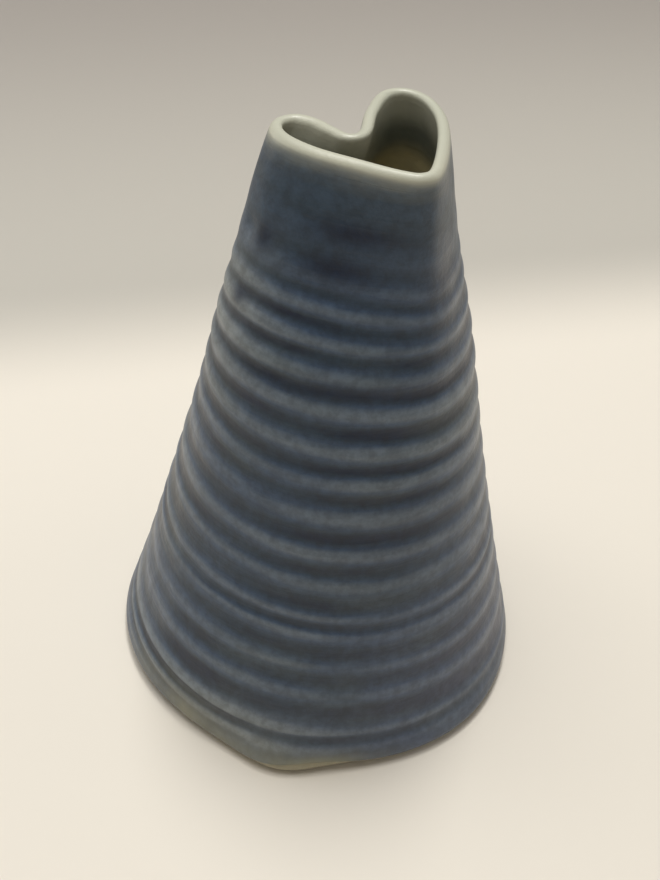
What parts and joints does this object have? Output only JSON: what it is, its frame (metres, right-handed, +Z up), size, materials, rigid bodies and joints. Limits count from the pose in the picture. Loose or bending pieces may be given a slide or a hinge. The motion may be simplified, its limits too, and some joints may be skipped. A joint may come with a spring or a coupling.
{
  "type": "bud vase",
  "caption": "Small wheel-thrown ceramic bud vase, a ringed cone that narrows to a squeezed heart-shaped mouth, blue glaze outside and pale glaze inside.",
  "frame": {"origin": "centre of the flat underside, where the vase stands", "axes": "+Z up; -Y is the front, below the heart-shaped mouth's long straight edge; +X is to the right seen from the front"},
  "size_m": [0.0967, 0.0974, 0.137],
  "materials": {
    "fired_clay": "bare fired clay, matt, fine-grained",
    "blue_glaze": "satin blue glaze, darker where it pools, breaking pale on ridges and edges",
    "pale_glaze": "glossy pale grey-green liner glaze"
  },
  "bodies": {
    "root": {"clay_body": "fired_clay", "outer_glaze": "blue_glaze", "liner_glaze": "pale_glaze"}
  },
  "joints": []
}
